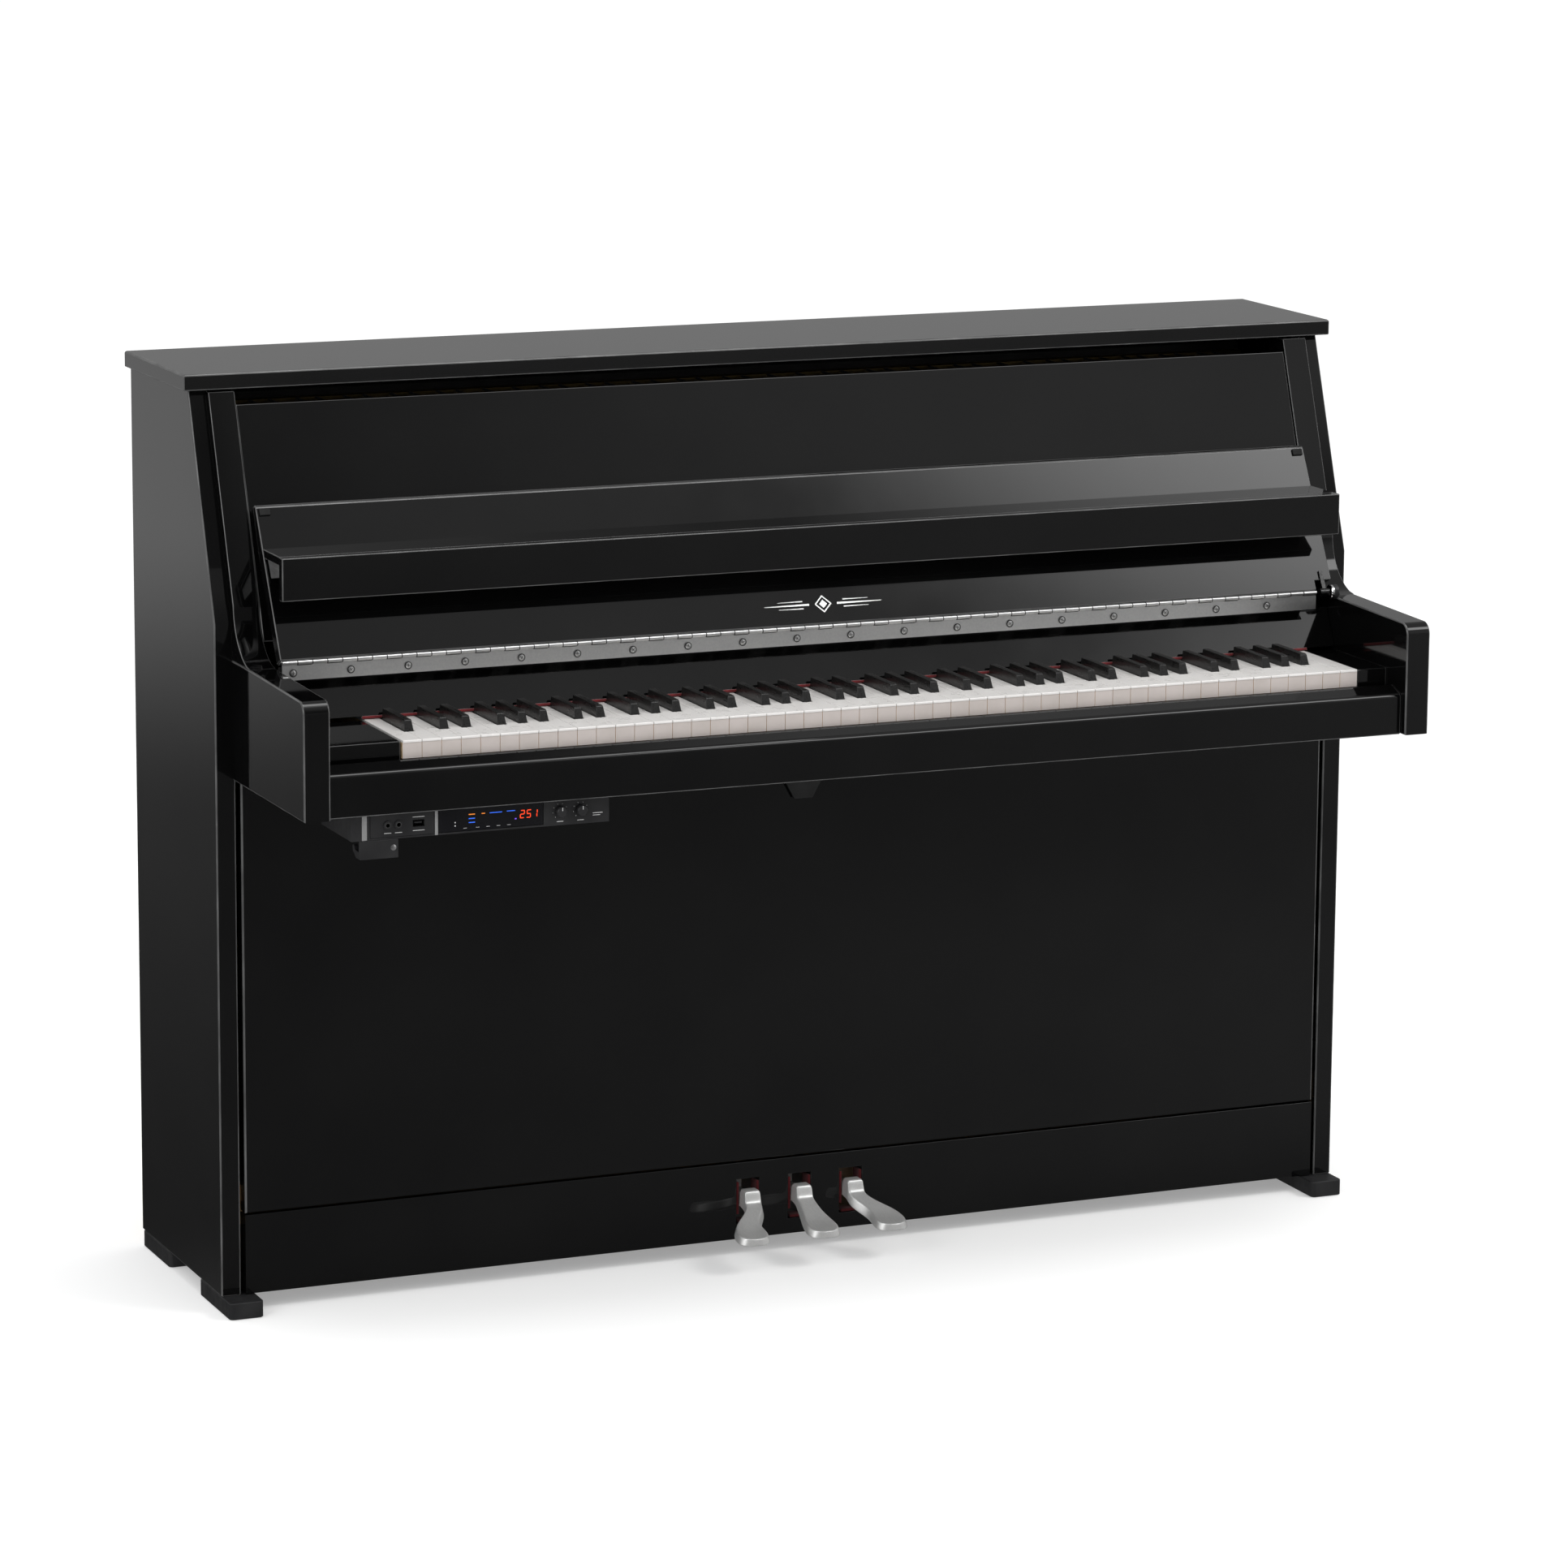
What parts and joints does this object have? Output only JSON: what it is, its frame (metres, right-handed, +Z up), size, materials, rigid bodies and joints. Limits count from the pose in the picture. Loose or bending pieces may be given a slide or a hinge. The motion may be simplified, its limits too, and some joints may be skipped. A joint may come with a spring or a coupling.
{
  "type": "upright piano",
  "caption": "Compact black-polished upright piano with open fallboard, folding music rest, pedals and an electronic silent unit under the key bed.",
  "frame": {"origin": "on the floor under the middle of the bounding box", "axes": "+Z up, front of the piano faces -Y, +X to the player's right"},
  "size_m": [1.49, 0.57, 1.1],
  "materials": {
    "ebony_polish": "high-gloss polished polyester, piano black",
    "white_key": "polished acrylic key covering with warm grey fronts",
    "black_key": "satin black phenolic sharps",
    "red_felt": "dark red wool felt",
    "foot_grey": "dark grey moulded feet",
    "hinge_steel": "satin nickel-plated steel hinge",
    "chrome_part": "polished chrome",
    "pedal_metal": "satin silver pedals",
    "rubber_black": "soft black rubber bumpers",
    "spruce": "varnished spruce",
    "beech": "plain hardwood",
    "plate_gold": "gold-lacquered cast iron",
    "string_steel": "music wire and blued pins",
    "felt_white": "hammer and damper felt on wood",
    "unit_black": "dark grey plastic housing",
    "display_gloss": "glossy black display window",
    "latch_black": "black spring steel latch"
  },
  "bodies": {
    "case": {"side_panel_right": "ebony_polish", "side_panel_left": "ebony_polish", "arm_right": "ebony_polish", "arm_left": "ebony_polish", "batten_right": "ebony_polish", "batten_left": "ebony_polish", "upper_panel": "ebony_polish", "lower_panel": "ebony_polish", "toe_rail": "ebony_polish", "bottom_board": "beech", "feet": "foot_grey", "key_bed": "ebony_polish", "key_slip": "ebony_polish", "cheek_blocks": "ebony_polish", "nameboard": "ebony_polish", "nameboard_felt": "red_felt", "back_frame": "beech", "soundboard": "spruce", "ribs_and_bridges": "spruce", "iron_plate": "plate_gold", "tuning_pins": "string_steel", "strings": "string_steel", "action_brackets": "beech", "key_frame": "beech", "lid_hinge_base": "hinge_steel", "fallboard_hinge_lower": "hinge_steel", "fallboard_damper": "unit_black", "pedal_felts": "red_felt", "pedal_brackets": "latch_black", "silent_unit": "unit_black", "silent_display": "display_gloss", "silent_sockets": "unit_black", "headphone_hook": "unit_black"},
    "lid": {"top_lid": "ebony_polish", "lid_hinge_leaf": "hinge_steel"},
    "fallboard": {"fallboard": "ebony_polish", "fallboard_hinge_upper": "hinge_steel", "fallboard_bumpers": "rubber_black", "fallboard_lever": "chrome_part"},
    "music_rest": {"music_rest_shelf": "ebony_polish", "music_rest_lip": "ebony_polish", "music_rest_brackets": "hinge_steel"},
    "pedal_left": {"pedal_left": "pedal_metal"},
    "pedal_middle": {"pedal_middle": "pedal_metal"},
    "pedal_right": {"pedal_right": "pedal_metal"},
    "rod_left": {"pedal_rod_left": "beech"},
    "rod_middle": {"pedal_rod_middle": "beech"},
    "rod_right": {"pedal_rod_right": "beech"},
    "hammers": {"hammers": "felt_white"},
    "dampers": {"dampers": "felt_white"},
    "muffler": {"muffler_rail": "felt_white"},
    "white_a": {"white_keys_a": "white_key"},
    "white_b": {"white_keys_b": "white_key"},
    "white_c": {"white_keys_c": "white_key"},
    "black_a": {"black_keys_a": "black_key"},
    "black_b": {"black_keys_b": "black_key"},
    "knob_volume": {"silent_knob_volume": "unit_black"},
    "knob_balance": {"silent_knob_balance": "unit_black"},
    "latch": {"panel_latch": "latch_black"}
  },
  "joints": [
    {"name": "lid_hinge", "type": "hinge", "parent": "case", "child": "lid", "pos_m": [0, 0.2805, 1.086], "axis": [-1, 0, 0], "range_deg": [0, 100]},
    {"name": "fallboard_hinge", "type": "hinge", "parent": "case", "child": "fallboard", "pos_m": [0, -0.104, 0.784], "axis": [1, 0, 0], "range_deg": [0, 116]},
    {"name": "music_rest_fold", "type": "hinge", "parent": "fallboard", "child": "music_rest", "pos_m": [0, -0.0402, 0.9069], "axis": [-1, 0, 0], "range_deg": [0, 112]},
    {"name": "panel_latch_flex", "type": "hinge", "parent": "case", "child": "latch", "pos_m": [0, -0.036, 0.636], "axis": [-1, 0, 0], "range_deg": [0, 12], "stiffness_Nm_per_rad": 1.5, "springref_deg": -2.86},
    {"name": "pedal_left_press", "type": "hinge", "parent": "case", "child": "pedal_left", "pos_m": [-0.067, 0.08, 0.066], "axis": [1, 0, 0], "range_deg": [0, 5], "stiffness_Nm_per_rad": 40, "springref_deg": -5.73},
    {"name": "pedal_middle_press", "type": "hinge", "parent": "case", "child": "pedal_middle", "pos_m": [0.001, 0.08, 0.066], "axis": [1, 0, 0], "range_deg": [0, 5], "stiffness_Nm_per_rad": 40, "springref_deg": -5.73},
    {"name": "pedal_right_press", "type": "hinge", "parent": "case", "child": "pedal_right", "pos_m": [0.069, 0.08, 0.066], "axis": [1, 0, 0], "range_deg": [0, 5], "stiffness_Nm_per_rad": 40, "springref_deg": -5.73},
    {"name": "rod_left_lift", "type": "slide", "parent": "case", "child": "rod_left", "axis": [0, 0, 1], "range_m": [0, 0.0046]},
    {"name": "rod_middle_lift", "type": "slide", "parent": "case", "child": "rod_middle", "axis": [0, 0, 1], "range_m": [0, 0.0046]},
    {"name": "rod_right_lift", "type": "slide", "parent": "case", "child": "rod_right", "axis": [0, 0, 1], "range_m": [0, 0.0046]},
    {"name": "rail_hammers_tilt", "type": "hinge", "parent": "case", "child": "hammers", "pos_m": [0, 0.077, 0.78], "axis": [-1, 0, 0], "range_deg": [0, 2.6]},
    {"name": "rail_dampers_tilt", "type": "hinge", "parent": "case", "child": "dampers", "pos_m": [0, 0.113, 0.771], "axis": [1, 0, 0], "range_deg": [0, 5.1]},
    {"name": "rail_muffler_drop", "type": "slide", "parent": "case", "child": "muffler", "axis": [0, 0, -1], "range_m": [0, 0.0255]},
    {"name": "silent_knob_volume_turn", "type": "hinge", "parent": "case", "child": "knob_volume", "pos_m": [-0.399, -0.261, 0.6215], "axis": [0, 1, 0], "range_deg": [-150, 150]},
    {"name": "silent_knob_balance_turn", "type": "hinge", "parent": "case", "child": "knob_balance", "pos_m": [-0.374, -0.261, 0.6215], "axis": [0, 1, 0], "range_deg": [-150, 150]},
    {"name": "tilt_keys_white_a", "type": "hinge", "parent": "case", "child": "white_a", "pos_m": [0, 0.015, 0.6915], "axis": [1, 0, 0], "range_deg": [0, 2.25], "stiffness_Nm_per_rad": 60, "springref_deg": -3.44},
    {"name": "tilt_keys_white_b", "type": "hinge", "parent": "case", "child": "white_b", "pos_m": [0, 0.015, 0.6915], "axis": [1, 0, 0], "range_deg": [0, 2.25], "stiffness_Nm_per_rad": 60, "springref_deg": -3.44},
    {"name": "tilt_keys_white_c", "type": "hinge", "parent": "case", "child": "white_c", "pos_m": [0, 0.015, 0.6915], "axis": [1, 0, 0], "range_deg": [0, 2.25], "stiffness_Nm_per_rad": 60, "springref_deg": -3.44},
    {"name": "tilt_keys_black_a", "type": "hinge", "parent": "case", "child": "black_a", "pos_m": [0, 0.015, 0.6915], "axis": [1, 0, 0], "range_deg": [0, 2.25], "stiffness_Nm_per_rad": 60, "springref_deg": -3.44},
    {"name": "tilt_keys_black_b", "type": "hinge", "parent": "case", "child": "black_b", "pos_m": [0, 0.015, 0.6915], "axis": [1, 0, 0], "range_deg": [0, 2.25], "stiffness_Nm_per_rad": 60, "springref_deg": -3.44}
  ],
  "couplings": [
    {"joint": "rod_left_lift", "follows": "pedal_left_press", "m_per_rad": 0.049},
    {"joint": "rod_middle_lift", "follows": "pedal_middle_press", "m_per_rad": 0.049},
    {"joint": "rod_right_lift", "follows": "pedal_right_press", "m_per_rad": 0.049},
    {"joint": "rail_hammers_tilt", "follows": "pedal_left_press", "ratio": 0.5},
    {"joint": "rail_dampers_tilt", "follows": "pedal_right_press", "ratio": 1},
    {"joint": "rail_muffler_drop", "follows": "pedal_middle_press", "m_per_rad": 0.28}
  ]
}
